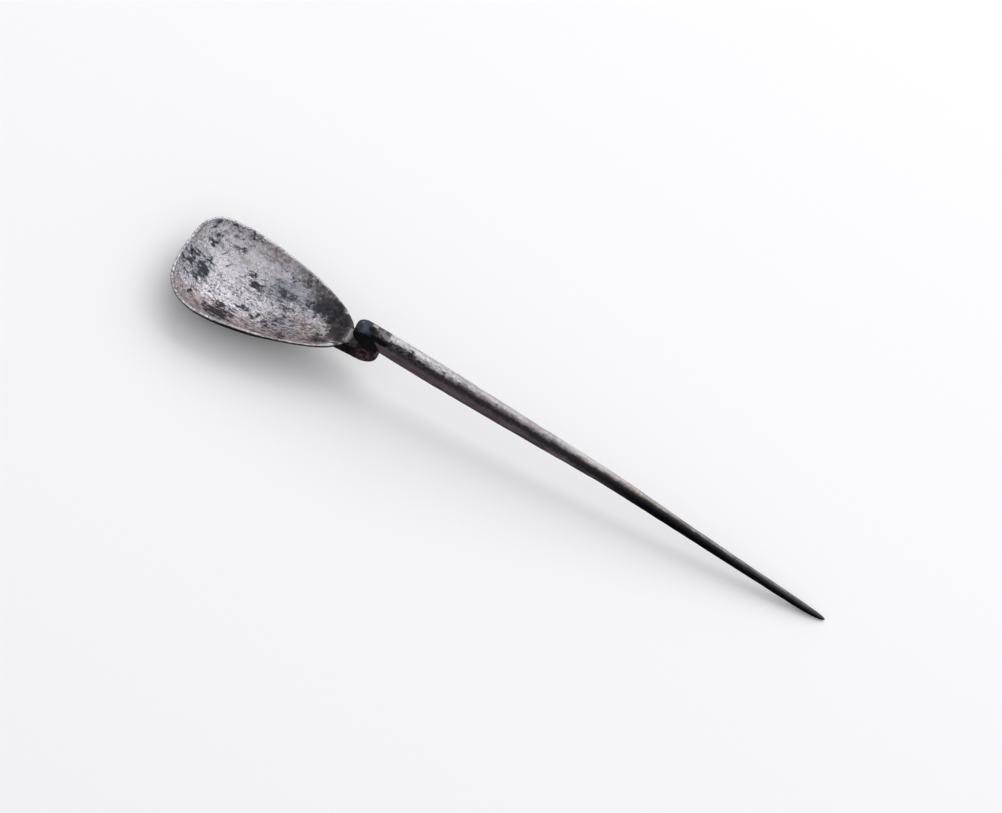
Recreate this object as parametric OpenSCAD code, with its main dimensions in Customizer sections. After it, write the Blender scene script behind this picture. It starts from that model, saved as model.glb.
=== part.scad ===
// Old silver table spoon, wrought in one piece: a pear-shaped bowl, a keeled step behind it,
// and a handle that runs from a square bar to a long round point.
// +X runs from the bowl to the handle's point, +Z is up, and the spoon rests on its belly and point.

/* [Bowl] */
// Length of the bowl, from its front edge to the neck
bowl_len = 38; // [32:0.5:46]
// Width of the bowl across its outer edge
bowl_w = 24.6; // [20:0.2:30]
// Depth of the hollow below the rim
bowl_depth = 6; // [4.5:0.1:8]
// Length of the rounded front end, up to where the bowl is widest
nose_len = 10; // [7:0.5:13]
// Fullness of the front corner on the far, +Y side: 2 is an ellipse, more is squarer
far_fullness = 3.5; // [2:0.1:4.5]
// Fullness of the front corner on the near side
near_fullness = 2.5; // [2:0.1:4.5]
// How far the worn front edge slants back toward the far side
nose_slant = 1.1; // [0:0.1:2.4]
// Distance of the deepest point from the front edge
deepest_x = 16.5; // [13:0.5:20]
// Fullness of the tail, where the sides round in to the neck: a share of the bowl's width
tail_fullness = 0.65; // [0.5:0.01:0.75]
// Thickness of the wall at the rim
rim_t = 0.7; // [0.5:0.05:1.2]
// Extra thickness of the lip between the hollow and the neck
tail_lip = 1.2; // [0.5:0.1:2]
// Thickness of the wall at the belly
belly_t = 1; // [0.6:0.05:1.5]
// Steepness of the side walls: the angle of arc that each one spans
side_arc = 75; // [60:1:80]
// The same angle at the front end
nose_arc = 66; // [50:1:78]
// The same angle toward the neck, where the floor rises gently
tail_arc = 42; // [30:1:60]

/* [Step] */
// Thickness of the keel and the neck, across the spoon
plate_w = 3.5; // [2.8:0.1:4]
// Thickness of the plate's waist, between the keel and the bar
waist_w = 3.1; // [2.4:0.1:4]
// Length of the plate, from the end of the bowl to its rear edge
plate_len = 6.8; // [6:0.1:9]
// Depth of the plate's lower edge, the keel, below the rim
keel_drop = 4.3; // [3:0.1:4.6]
// Radius of the plate's lower rear corner
heel_r = 3.3; // [2:0.1:3.5]
// Height of the neck's upper face above the rim
neck_rise = 0.5; // [0.2:0.1:1]
// Rounding of the step's long edges
edge_r = 0.5; // [0.3:0.05:0.9]

/* [Handle] */
// Length of the handle, from the rounded butt above the neck to the point
handle_len = 110.4; // [90:0.5:130]
// Width of the square bar where the handle leaves the step
bar_w = 4.1; // [3.4:0.1:4.8]
// Height of the square bar
bar_h = 3.8; // [3.2:0.1:4.4]
// Diameter of the handle just before its point
point_d = 1.6; // [1:0.1:2.2]
// Height of the handle's middle line above the rim, at the butt
handle_rise = 3.9; // [3.3:0.1:4.3]
// Downward slope of the handle's front half, in degrees
handle_fall = 7.3; // [5:0.1:9]
// Extra downward bend past the middle, in degrees
handle_bend = 3.5; // [0:0.1:6]
// Share of the handle's length before that bend
bend_at = 0.53; // [0.4:0.01:0.7]

/* [Hidden] */
$fn = 32;

// Points round one half of the rim: the front end, and the side up to the neck
nose_steps = 12;
side_steps = 24;
// Rings from the rim to the deepest point, and over the rounded rim
wall_rings = 9;
rim_rings = 4;
// Share of the width at which the innermost ring is closed flat
first_ring = 0.04;
// How narrowly the front and neck angles of the wall, and the lip, keep to the long axis
arc_focus = 3;
lip_focus = 40;
// Sections along the handle, and points round each
handle_steps = 40;
bar_sides = 32;
// Squareness of the bar at the step, and of the drawn-out round part
bar_fullness = 5;
round_fullness = 2;
// Shares of the handle: where the bar starts behind the butt, where the section is round,
// where the taper starts, where the point starts
bar_start = 0.048;
round_at = 0.72;
taper_at = 0.18;
point_at = 0.88;
// Lean of the bar's oblique end, and the share of the handle over which it dies out
bar_lean = 0.68;
lean_run = 0.08;
// Run over which the handle's bend is spread
bend_run = 9;
// Roundness of the point's end, and the share of its thickness left at the very tip
point_fullness = 4;
point_blunt = 0.14;

half_w = bowl_w / 2;
// Where the rim closes inside the neck
rim_end_x = bowl_len + 0.7;
// Share of the bowl's side over which its curve stays level behind the widest place
side_run = 0.2;
plate_rear_x = bowl_len + plate_len;
deepest = [deepest_x, 0];

// Front end of the keel under the belly, its radius there, and the middle of the neck
keel_front_x = bowl_len - 5.2;
keel_front_r = 0.9;
neck_x = bowl_len + 0.8;
// Rounded butt of the handle: its front end, radius, width, and drop below the bar's middle line
butt_x = bowl_len + 0.1;
butt_r = bar_h / 2 + 0.2;
butt_w = waist_w + 0.4;
butt_drop = 0.45;
// How far the butt's rear end sinks into the bar
butt_sink = 0.1;

// Superellipse arc, from the axis to the full half width
function nose_point(a, fullness) = [
    nose_len * (1 - pow(cos(a), 2 / fullness)),
    half_w * pow(sin(a), 2 / fullness)
];

// Cubic curve along the side, level at the widest place and square to the axis inside the neck
function side_point(t) =
    pow(1 - t, 3) * [nose_len, half_w]
    + 3 * t * pow(1 - t, 2) * [nose_len + side_run * (rim_end_x - nose_len), half_w]
    + 3 * t * t * (1 - t) * [rim_end_x, tail_fullness * half_w]
    + pow(t, 3) * [rim_end_x, 0];

// One half of the outer outline, from the front edge to the neck
function half_outline(fullness) = concat(
    [for (k = [0:nose_steps - 1]) nose_point(90 * k / nose_steps, fullness)],
    [for (k = [0:side_steps]) side_point(k / side_steps)]
);
far_half = half_outline(far_fullness);
near_half = half_outline(near_fullness);

// Slides the front edge back toward the far side, less and less behind the front end
function slanted(p) =
    [p[0] + nose_slant * p[1] / half_w * max(0, 1 - p[0] / nose_len), p[1]];

// The whole outer outline, from the front edge round the far side and back along the near side
outline = [
    for (p = far_half) slanted(p),
    for (k = [len(near_half) - 2:-1:1]) slanted([near_half[k][0], -near_half[k][1]])
];
outline_count = len(outline);

// Unit vector that points into the bowl at one point of the outline
function inward(k) =
    let (ahead = outline[(k + 1) % outline_count],
         behind = outline[(k + outline_count - 1) % outline_count],
         run = ahead - behind)
    [run[1], -run[0]] / norm(run);

// Wall thickness at one point of the rim, growing to the lip at the neck
function lip(p) = rim_t + tail_lip * pow(max(0, p[0] - deepest_x) / norm(p - deepest), lip_focus);

// Inner edge of the rim, set in along the line to the deepest point
inner_outline = [for (k = [0:outline_count - 1])
    let (p = outline[k], way = (deepest - p) / norm(deepest - p))
    p + way * lip(p) / max(0.5, way * inward(k))];

// Angle of arc that the wall spans, in the direction of one point of the rim
function wall_arc(p) =
    let (along = (p - deepest)[0] / norm(p - deepest))
    side_arc + (along > 0 ? tail_arc - side_arc : nose_arc - side_arc) * pow(abs(along), arc_focus);

// Reach of the wall from the deepest point: the rim's own at 1, and an oval's toward 0
function wall_reach(p, share) =
    let (way = (p - deepest) / norm(p - deepest),
         oval = 1 / norm([way[0] / (way[0] > 0 ? bowl_len - deepest_x : deepest_x), way[1] / half_w]))
    way * (oval + (norm(p - deepest) - oval) * (1 - pow(1 - share, 2)));

// One ring of the hollow or of the belly: 1 is the rim, 0 the deepest point
function wall_ring(rim, depth, share) = [for (p = rim)
    let (arc = wall_arc(p),
         out = sin(share * arc) / sin(arc),
         down = (cos(share * arc) - cos(arc)) / (1 - cos(arc)),
         q = deepest + out * wall_reach(p, share))
    [q[0], q[1], -depth * down]];

// All rings of one surface, from the deepest point up to the rim
function wall_surface(rim, depth) =
    [for (r = [0:wall_rings]) wall_ring(rim, depth, max(first_ring, r / wall_rings))];
belly_surface = wall_surface(outline, bowl_depth + belly_t);

// One ring over the rounded rim, from the inner edge at 0 to the outer edge at 1
function rim_ring(share) = [for (k = [0:outline_count - 1])
    let (q = inner_outline[k] + (1 - cos(180 * share)) / 2 * (outline[k] - inner_outline[k]))
    [q[0], q[1], rim_t / 2 * sin(180 * share)]];

// Closed body through rings of equal count, with a flat cap on each end ring.
// Seen from the last ring's end, every ring runs anticlockwise.
module skin(rings) {
    n = len(rings[0]);
    last = len(rings) - 1;
    polyhedron(
        points = [for (r = rings) each r],
        faces = concat(
            [[for (k = [0:n - 1]) k]],
            [for (r = [0:last - 1], k = [0:n - 1])
                each let (k2 = (k + 1) % n, a = r * n + k, b = r * n + k2)
                    [[a, a + n, b], [b, a + n, b + n]]],
            [[for (k = [n - 1:-1:0]) last * n + k]]
        ),
        convexity = 6
    );
}

// Raised bowl: the hollow, the rounded rim and the belly as one closed skin
module bowl() {
    inside = wall_surface(inner_outline, bowl_depth);
    skin(concat(
        [for (r = [0:wall_rings - 1]) inside[r]],
        [for (r = [0:rim_rings]) rim_ring(r / rim_rings)],
        [for (r = [wall_rings - 1:-1:0]) belly_surface[r]]
    ));
}

// Everything inside the middle of the bowl's wall, which the step must not reach
module inside_wall() {
    middle = (inner_outline + outline) / 2;
    surface = wall_surface(middle, bowl_depth + belly_t / 2);
    skin(concat(
        [[for (p = middle) [p[0], p[1], neck_rise + rim_t]]],
        [for (r = [wall_rings:-1:0]) surface[r]]
    ));
}

// Disc set on edge across the spoon, with softened edges
module disc(x, z, r, w) {
    corner = edge_r * (1 - cos(45));
    translate([x, 0, z]) rotate([90, 0, 0]) {
        cylinder(h = w, r = r - edge_r, center = true);
        cylinder(h = w - 2 * corner, r = r - corner, center = true);
        cylinder(h = w - 2 * edge_r, r = r, center = true);
    }
}

// Upright plate with its rounded heel, and the keel that runs forward into the belly
module step() {
    neck_r = (keel_drop + neck_rise) / 2;
    neck_z = neck_rise - neck_r;
    heel_x = plate_rear_x - heel_r;
    heel_z = heel_r - keel_drop;
    // Keel beneath the tail of the bowl
    hull() {
        disc(keel_front_x, keel_front_r - keel_drop, keel_front_r, plate_w);
        disc(neck_x, neck_z, neck_r, plate_w);
    }
    // Neck behind the bowl
    hull() {
        disc(neck_x, neck_z, neck_r, plate_w);
        disc(heel_x, heel_z, heel_r, plate_w);
    }
    // Waist of the plate, up into the handle
    hull() {
        disc(heel_x, heel_z, heel_r, waist_w);
        disc(plate_rear_x - bar_h / 2, handle_z(bar_start), bar_h / 2 - edge_r, waist_w);
    }
}

// Height of the handle's middle line, a share of the way to the point
function handle_z(share) =
    let (run = share * handle_len,
         past = run - bend_at * handle_len,
         bent_run = (past + norm([past, bend_run])) / 2,
         extra_slope = tan(handle_fall + handle_bend) - tan(handle_fall))
    handle_rise - run * tan(handle_fall) - bent_run * extra_slope;

// Size of the handle's section, a share of the way to the point
function handle_size(share, first) =
    let (tapered = first - (first - point_d) * max(0, share - taper_at) / (1 - taper_at),
         into_point = max(0, share - point_at) / (1 - point_at))
    tapered * sqrt(max(pow(point_blunt, 2), 1 - pow(into_point, point_fullness)));

// One section of the handle; the first ones lean, so that the bar's near end is cut obliquely
function handle_ring(share) =
    let (n = max(round_fullness, bar_fullness - (bar_fullness - round_fullness) * share / round_at),
         lean = bar_lean * max(0, 1 - (share - bar_start) / lean_run))
    [for (k = [0:bar_sides - 1])
        let (a = 360 * k / bar_sides, c = cos(a), s = sin(a),
             up = handle_size(share, bar_h) / 2 * sign(s) * pow(abs(s), 2 / n))
        [butt_x + share * handle_len - lean * up,
         handle_size(share, bar_w) / 2 * sign(c) * pow(abs(c), 2 / n),
         handle_z(share) + up]];
handle_rings = [for (r = [0:handle_steps]) handle_ring(bar_start + (1 - bar_start) * r / handle_steps)];

// Bar drawn out to a long round point, with a narrower rounded butt over the neck
module handle() {
    skin(handle_rings);
    hull() {
        disc(butt_x + butt_r, handle_z(0) - butt_drop, butt_r, butt_w);
        disc(plate_rear_x, handle_z(bar_start), bar_h / 2 - butt_sink, butt_w);
    }
}

// Slope of the line on which the spoon rests, from under the belly to under the point
handle_points = [for (ring = handle_rings) each ring];
belly_z = -bowl_depth - belly_t;
rest_tilt = atan(min([for (p = handle_points) (p[2] - belly_z) / (p[0] - deepest_x)]));

// Where points lie once the spoon is tilted onto that line
function tilted(p) = [p[0] * cos(rest_tilt) + p[2] * sin(rest_tilt), p[1],
                      p[2] * cos(rest_tilt) - p[0] * sin(rest_tilt)];
front_x = min([for (p = rim_ring(1)) tilted(p)[0]]);
rear_x = max([for (p = handle_points) tilted(p)[0]]);
table_z = min([for (ring = belly_surface, p = ring) tilted(p)[2]]);

module spoon() {
    color([0.55, 0.53, 0.55])
    translate([-(front_x + rear_x) / 2, 0, -table_z])
    rotate([0, rest_tilt, 0]) {
        bowl();
        difference() {
            step();
            inside_wall();
        }
        handle();
    }
}

spoon();
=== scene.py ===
import math

import bmesh
import bpy
import numpy as np
from mathutils import Matrix, Vector
from mathutils.bvhtree import BVHTree


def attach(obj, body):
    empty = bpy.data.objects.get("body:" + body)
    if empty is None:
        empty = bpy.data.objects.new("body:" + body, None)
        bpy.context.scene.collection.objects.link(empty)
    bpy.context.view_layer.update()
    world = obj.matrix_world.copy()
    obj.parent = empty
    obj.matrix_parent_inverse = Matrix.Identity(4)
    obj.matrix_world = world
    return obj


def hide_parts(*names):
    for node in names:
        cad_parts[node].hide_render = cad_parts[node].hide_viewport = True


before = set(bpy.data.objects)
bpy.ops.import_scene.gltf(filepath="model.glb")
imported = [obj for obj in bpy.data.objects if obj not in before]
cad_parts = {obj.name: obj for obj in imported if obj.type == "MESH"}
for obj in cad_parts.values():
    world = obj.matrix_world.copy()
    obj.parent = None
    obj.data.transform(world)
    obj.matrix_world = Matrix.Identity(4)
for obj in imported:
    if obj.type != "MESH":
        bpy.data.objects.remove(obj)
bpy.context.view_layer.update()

# The bowl.
# A shallow pear-shaped bowl of silver plate about a millimetre thick, raised with a hammer over a
# stake and planished. Its front edge is worn back on the far side, and its rim is rounded by use.
# All shapes are in millimetres here: x runs from the front edge to the handle, and z is 0 at the rim.
bowl_len, bowl_w, bowl_depth = 38.0, 24.6, 6.0
nose_len, far_fullness, near_fullness, nose_slant = 10.0, 3.5, 2.5, 1.1
deepest = np.array([16.5, 0.0])
tail_fullness, side_run = 0.65, 0.2
rim_end_x = bowl_len + 0.7
rim_t, tail_lip, lip_focus, belly_t = 0.7, 1.2, 40, 1.0
side_arc, nose_arc, tail_arc, arc_focus = 75.0, 66.0, 42.0, 3
half_w = bowl_w / 2
outline_points, rim_points = 900, 460


def half_outline(fullness):
    a = np.linspace(0, np.pi / 2, outline_points)[:, None]
    nose = np.hstack([nose_len * (1 - np.abs(np.cos(a)) ** (2 / fullness)),
                      half_w * np.sin(a) ** (2 / fullness)])
    t = np.linspace(0, 1, outline_points)[:, None]
    side = ((1 - t) ** 3 * [nose_len, half_w]
            + 3 * t * (1 - t) ** 2 * [nose_len + side_run * (rim_end_x - nose_len), half_w]
            + 3 * t * t * (1 - t) * [rim_end_x, tail_fullness * half_w] + t ** 3 * [rim_end_x, 0])
    return np.vstack([nose[:-1], side])


def even_spacing(loop, count):
    closed = np.vstack([loop, loop[:1]])
    run = np.r_[0, np.cumsum(np.linalg.norm(np.diff(closed, axis=0), axis=1))]
    at = np.linspace(0, run[-1], count, endpoint=False)
    return np.column_stack([np.interp(at, run, closed[:, k]) for k in (0, 1)])


outline = np.vstack([half_outline(far_fullness), half_outline(near_fullness)[-2:0:-1] * [1, -1]])
outline[:, 0] += nose_slant * outline[:, 1] / half_w * np.maximum(0, 1 - outline[:, 0] / nose_len)
outline = even_spacing(outline, rim_points)
way = deepest - outline
way /= np.linalg.norm(way, axis=1)[:, None]
run = np.roll(outline, -1, 0) - np.roll(outline, 1, 0)
inward = np.column_stack([run[:, 1], -run[:, 0]]) / np.linalg.norm(run, axis=1)[:, None]
lip = rim_t + tail_lip * np.maximum(0, -way[:, 0]) ** lip_focus
inner_outline = outline + way * (lip / np.maximum(0.5, (way * inward).sum(1)))[:, None]


def wall_ring(rim, depth, share):
    reach = np.linalg.norm(rim - deepest, axis=1)
    out = (rim - deepest) / reach[:, None]
    arc = np.radians(side_arc + np.where(out[:, 0] > 0, tail_arc - side_arc, nose_arc - side_arc)
                     * np.abs(out[:, 0]) ** arc_focus)
    oval = 1 / np.hypot(out[:, 0] / np.where(out[:, 0] > 0, bowl_len - deepest[0], deepest[0]),
                        out[:, 1] / half_w)
    reach = oval + (reach - oval) * (1 - (1 - share) ** 2)
    xy = deepest + out * (reach * np.sin(share * arc) / np.sin(arc))[:, None]
    down = (np.cos(share * arc) - np.cos(arc)) / (1 - np.cos(arc))
    return np.column_stack([xy, -depth * down])


def skin(name, rings):
    """Closed mesh through rings of equal count, with a fan on each end ring."""
    count, rows = len(rings[0]), len(rings)
    points = np.vstack(list(rings) + [rings[0].mean(0)[None], rings[-1].mean(0)[None]])
    k = np.arange(count)
    k2 = (k + 1) % count
    faces = [f for r in range(rows - 1)
             for f in np.column_stack([r * count + k, (r + 1) * count + k,
                                       (r + 1) * count + k2, r * count + k2]).tolist()]
    faces += np.column_stack([k, k2, np.full(count, rows * count)]).tolist()
    last = (rows - 1) * count
    faces += np.column_stack([last + k2, last + k, np.full(count, rows * count + 1)]).tolist()
    mesh = bpy.data.meshes.new(name)
    mesh.from_pydata(points.tolist(), [], faces)
    return mesh


def rim_ring(share):
    across_lip = (1 - math.cos(math.pi * share)) / 2 * (outline - inner_outline)
    rise = rim_t / 2 * math.sin(math.pi * share)
    return np.column_stack([inner_outline + across_lip, np.full(len(outline), rise)])


shares = np.linspace(0.01, 1, 64)
rim_rings = [rim_ring(s) for s in np.linspace(0, 1, 12)]
bowl_mesh = skin("bowl", [wall_ring(inner_outline, bowl_depth, s) for s in shares[:-1]] + rim_rings
                 + [wall_ring(outline, bowl_depth + belly_t, s) for s in shares[-2::-1]])

# The step.
# An upright plate forged down from the bar: its lower edge is a keel that runs forward under the
# bowl, its heel is rounded, and the butt of the handle curls over the neck in front of it.
plate_w, waist_w, plate_len = 3.5, 3.1, 6.8
keel_drop, heel_r, neck_rise, edge_r = 4.3, 3.3, 0.5, 0.5
keel_run, keel_front_r, neck_x = 5.2, 0.9, bowl_len + 0.8
plate_rear_x = bowl_len + plate_len
handle_len, bar_w, bar_h, point_d = 110.4, 4.1, 3.8, 1.6
handle_rise, handle_fall, handle_bend, bend_at, bend_run = 3.9, 7.3, 3.5, 0.53, 9.0
butt_x, butt_r, butt_w = bowl_len + 0.1, bar_h / 2 + 0.2, waist_w + 0.4
butt_drop, butt_sink = 0.45, 0.1
bar_start = 0.048


def handle_z(share):
    past = share * handle_len - bend_at * handle_len
    fall = math.tan(math.radians(handle_fall))
    extra = math.tan(math.radians(handle_fall + handle_bend)) - fall
    return handle_rise - share * handle_len * fall - (past + np.hypot(past, bend_run)) / 2 * extra


def disc(x, z, radius, width):
    """Points of a disc set on edge across the spoon, with rounded edges."""
    a = np.radians(np.arange(0, 360, 5))
    rows = []
    for e in np.radians([0, 22.5, 45, 67.5, 90]):
        r, y = radius - edge_r * (1 - math.sin(e)), width / 2 - edge_r * (1 - math.cos(e))
        for side in (-y, y):
            rows.append(np.column_stack([x + r * np.cos(a), np.full(len(a), side), z + r * np.sin(a)]))
    return np.vstack(rows)


def hull(name, *discs):
    shape = bmesh.new()
    for p in np.vstack(discs):
        shape.verts.new(p)
    bmesh.ops.convex_hull(shape, input=shape.verts)
    bmesh.ops.delete(shape, geom=[v for v in shape.verts if not v.link_faces], context="VERTS")
    mesh = bpy.data.meshes.new(name)
    shape.to_mesh(mesh)
    shape.free()
    return mesh


neck_r = (keel_drop + neck_rise) / 2
neck = disc(neck_x, neck_rise - neck_r, neck_r, plate_w)
heel_at = (plate_rear_x - heel_r, heel_r - keel_drop, heel_r)
keel_front = disc(bowl_len - keel_run, keel_front_r - keel_drop, keel_front_r, plate_w)
keel_mesh = hull("keel", keel_front, neck)
neck_mesh = hull("neck", neck, disc(*heel_at, plate_w))
waist_mesh = hull("waist", disc(*heel_at, waist_w),
                  disc(plate_rear_x - bar_h / 2, handle_z(bar_start), bar_h / 2 - edge_r, waist_w))
butt_mesh = hull("butt", disc(butt_x + butt_r, handle_z(0) - butt_drop, butt_r, butt_w),
                 disc(plate_rear_x, handle_z(bar_start), bar_h / 2 - butt_sink, butt_w))

# The handle.
# A square bar, cut off obliquely above the plate and drawn out under the hammer to a long round
# point. Its section turns from square to round over the front three quarters, a little unevenly.
bar_fullness, round_fullness, round_at = 5.0, 2.0, 0.72
taper_at, point_at, point_fullness, point_blunt = 0.18, 0.88, 5, 0.16
bar_lean, lean_run = 0.68, 0.08
uneven_size, uneven_turn = 0.008, math.radians(0.8)
bow, bow_x, bow_reach = 0.22, 97, 12
hook, hook_x, hook_run = 0.25, 141, 7
hammering = np.random.default_rng(11)
knots = np.linspace(0, 1, 26)
uneven = [hammering.normal(0, 1, len(knots)) for _ in range(3)]


def handle_ring(share, sides=72):
    fullness = max(round_fullness, bar_fullness - (bar_fullness - round_fullness) * share / round_at)
    lean = bar_lean * max(0, 1 - (share - bar_start) / lean_run)
    into_point = max(0, share - point_at) / (1 - point_at)
    end = math.sqrt(max(point_blunt ** 2, 1 - into_point ** point_fullness))
    taper = max(0, share - taper_at) / (1 - taper_at)
    wobble = [np.interp(share, knots, u) for u in uneven]
    size = [(full - (full - point_d) * taper) / 2 * end * (1 + uneven_size * w)
            for full, w in zip((bar_w, bar_h), wobble)]
    a = np.radians(np.arange(sides) * 360 / sides)
    c, s = np.cos(a), np.sin(a)
    y = size[0] * np.sign(c) * np.abs(c) ** (2 / fullness)
    z = size[1] * np.sign(s) * np.abs(s) ** (2 / fullness)
    turn = uneven_turn * wobble[2]
    y, z = y * math.cos(turn) - z * math.sin(turn), y * math.sin(turn) + z * math.cos(turn)
    x = butt_x + share * handle_len
    y += bow * math.exp(-((x - bow_x) / bow_reach) ** 2) + hook * (max(0, x - hook_x) / hook_run) ** 2
    return np.column_stack([x - lean * z, y, handle_z(share) + z])


handle_mesh = skin("handle", [handle_ring(s) for s in np.linspace(bar_start, 1, 420)])

# Forged in one piece.
# The bowl, the step and the handle are one piece of silver with no seam, so their closed shapes are
# fused, drawn back onto the true surfaces, and run softly into each other where the hammer has
# worked them. The last blows leave shallow flats all over, and use adds dents and nicks.
fine, snap_reach = 0.21, 0.16
soften_passes, soften_share = 2, 0.3
blend_passes, blend_share = 9, 0.5

joined = bpy.data.objects.new("spoon_silver", bpy.data.meshes.new("spoon_silver"))
bpy.context.scene.collection.objects.link(joined)
together = bmesh.new()
for part in (bowl_mesh, keel_mesh, neck_mesh, waist_mesh, butt_mesh, handle_mesh):
    together.from_mesh(part)
    bpy.data.meshes.remove(part)
bmesh.ops.triangulate(together, faces=together.faces[:])
true_surface = BVHTree.FromBMesh(together)
together.to_mesh(joined.data)
together.free()

fuse = joined.modifiers.new("fuse", "REMESH")
fuse.mode, fuse.voxel_size, fuse.use_smooth_shade = "VOXEL", fine, True


def apply_modifiers(piece):
    bpy.context.view_layer.update()
    done = bpy.data.meshes.new_from_object(piece.evaluated_get(bpy.context.evaluated_depsgraph_get()))
    piece.modifiers.clear()
    old, piece.data = piece.data, done
    bpy.data.meshes.remove(old)


apply_modifiers(joined)


def positions(mesh, field="vertices", what="co"):
    data = np.empty(len(getattr(mesh, field)) * 3, np.float32)
    getattr(mesh, field).foreach_get(what, data)
    return data.reshape(-1, 3).astype(float)


spots = positions(joined.data)
snapped = np.array([tuple(true_surface.find_nearest(p, snap_reach)[0] or p) for p in spots])
ends = np.empty(len(joined.data.edges) * 2, np.int32)
joined.data.edges.foreach_get("vertices", ends)
ends = ends.reshape(-1, 2)
neighbours = np.maximum(1, np.bincount(ends.ravel(), minlength=len(spots)))


def averaged(values):
    total = np.zeros_like(values)
    np.add.at(total, ends[:, 0], values[ends[:, 1]])
    np.add.at(total, ends[:, 1], values[ends[:, 0]])
    return total / (neighbours[:, None] if values.ndim == 2 else neighbours)


def bell(x, low, high, soft):
    """1 between low and high, falling smoothly to 0 over soft on either side."""
    ramp = np.clip(np.minimum(x - low, high - x) / soft + 1, 0, 1)
    return ramp * ramp * (3 - 2 * ramp)


for _ in range(soften_passes):
    snapped += soften_share * (averaged(snapped) - snapped)
worked = bell(snapped[:, 0], bowl_len - 1.5, plate_rear_x + 1.5, 2.0)[:, None]
for _ in range(blend_passes):
    snapped += blend_share * worked * (averaged(snapped) - snapped)

# Dents and nicks: place, reach and push, all in millimetres
dents = [((0.3, 3.4, 0.1), 1.3, (0.16, -0.08, -0.05)), ((1.1, 5.9, 0.1), 1.2, (0.14, -0.1, 0)),
         ((0.1, -1.8, 0.1), 1.6, (0.06, 0, 0)), ((2.6, -9.3, 0), 1.6, (0.05, 0.05, 0)),
         ((9.0, 12.1, 0.1), 1.5, (0, -0.1, -0.06)), ((19.5, 11.4, 0.1), 1.1, (0, -0.07, -0.08)),
         ((24.0, -10.3, 0.1), 1.4, (0, 0.1, -0.05)), ((31.5, 7.6, 0.2), 1.2, (-0.03, -0.08, -0.05)),
         ((7.5, -5.0, -4.6), 2.6, (0, 0, -0.12)), ((12.5, 5.5, -4.9), 3.0, (0, 0, -0.1)),
         ((22.0, -4.0, -4.7), 2.8, (0, 0, -0.1)), ((28.0, 2.5, -3.6), 2.4, (0, 0, 0.08)),
         ((52.0, -2.0, 3.6), 1.3, (0, 0.1, -0.1)), ((66.0, 1.9, 1.9), 1.4, (0, -0.09, -0.09)),
         ((83.0, -1.8, 0.2), 1.2, (0, 0.08, -0.05)), ((101.0, 0.5, -1.9), 1.3, (0, 0, -0.07)),
         ((125.0, -0.9, -7.0), 1.2, (0, 0.06, 0)), ((43.0, -1.6, -3.0), 1.2, (0, 0.1, 0.05)),
         ((40.2, 0.4, 5.3), 1.3, (0, 0, -0.1))]
for place, reach, push in dents:
    near = np.exp(-((snapped - place) ** 2).sum(1) / (0.5 * reach) ** 2)
    snapped += near[:, None] * np.array(push)

# Scratches gouged across the hollow, from one place to another
gouges = [((8.8, 8.3), (10.4, 9.7)), ((9.5, 8.2), (10.9, 9.5)), ((8.5, 9.0), (12.2, 9.3)),
          ((7.1, 5.5), (8.8, 8.1)), ((8.8, 4.1), (10.6, 6.2)), ((7.6, 3.0), (9.9, 2.9)),
          ((7.7, 10.5), (10.5, 10.7)), ((12.9, 4.0), (14.3, 6.0)), ((14.3, 5.9), (16.6, 5.2)),
          ((18.6, 2.7), (20.5, 4.6)), ((21.9, 7.3), (23.1, 8.4)), ((22.5, 7.0), (23.7, 8.1)),
          ((4.9, 3.1), (5.9, 4.5)), ((9.7, 1.4), (11.5, 2.7)), ((13.3, 0.8), (15.3, 0.6))]
gouge_bow, gouge_w, gouge_depth, end_margin = 0.25, 0.17, 0.05, 0.3
burr_aside, burr_w, burr_h = 0.3, 0.16, 0.035
hollow_top, hollow_floor = -2.0, -bowl_depth - 0.25
gouged = np.zeros(len(snapped))
for start, end in gouges:
    start, stroke = np.array(start), np.subtract(end, start)
    way_along = np.clip(((snapped[:, :2] - start) @ stroke) / (stroke @ stroke), 0, 1)
    off = snapped[:, :2] - start - way_along[:, None] * stroke
    aside = off @ np.array([-stroke[1], stroke[0]]) / np.hypot(*stroke)
    aside += gouge_bow * np.sin(math.pi * way_along)
    past_end = np.hypot(*off.T) > np.abs(aside) + end_margin
    here = (snapped[:, 2] < hollow_top) & ~past_end & (snapped[:, 2] > hollow_floor)
    groove = here * np.exp(-(aside / gouge_w) ** 2)
    burr = here * np.exp(-((aside - burr_aside) / burr_w) ** 2)
    gouged = np.maximum(gouged, groove * np.sin(math.pi * np.clip(way_along, 0.08, 0.92)))
    snapped[:, 2] += burr_h * burr - gouge_depth * groove
joined.data.vertices.foreach_set("co", snapped.astype(np.float32).ravel())
kept = joined.data.attributes.new("gouged", "FLOAT", "POINT")
kept.data.foreach_set("value", gouged.astype(np.float32))
joined.data.update()

planishing = bpy.data.node_groups.new("planishing", "GeometryNodeTree")
for name, kind in (("Geometry", "Geometry"), ("Marks per area", "Float"), ("Mark radius", "Float"),
                   ("Mark depth", "Float"), ("Seed", "Int"), ("Metal", "Material")):
    planishing.interface.new_socket(name, in_out="INPUT", socket_type="NodeSocket" + kind)
planishing.interface.new_socket("Geometry", in_out="OUTPUT", socket_type="NodeSocketGeometry")
gn, gl = planishing.nodes, planishing.links
given, result = gn.new("NodeGroupInput"), gn.new("NodeGroupOutput")
blows = gn.new("GeometryNodeDistributePointsOnFaces")
gl.new(given.outputs["Geometry"], blows.inputs["Mesh"])
gl.new(given.outputs["Marks per area"], blows.inputs["Density"])
gl.new(given.outputs["Seed"], blows.inputs["Seed"])
nearness = gn.new("GeometryNodeProximity")
nearness.target_element = "POINTS"
gl.new(blows.outputs["Points"], nearness.inputs[0])
which = gn.new("GeometryNodeSampleNearest")
which.domain = "POINT"
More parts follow.
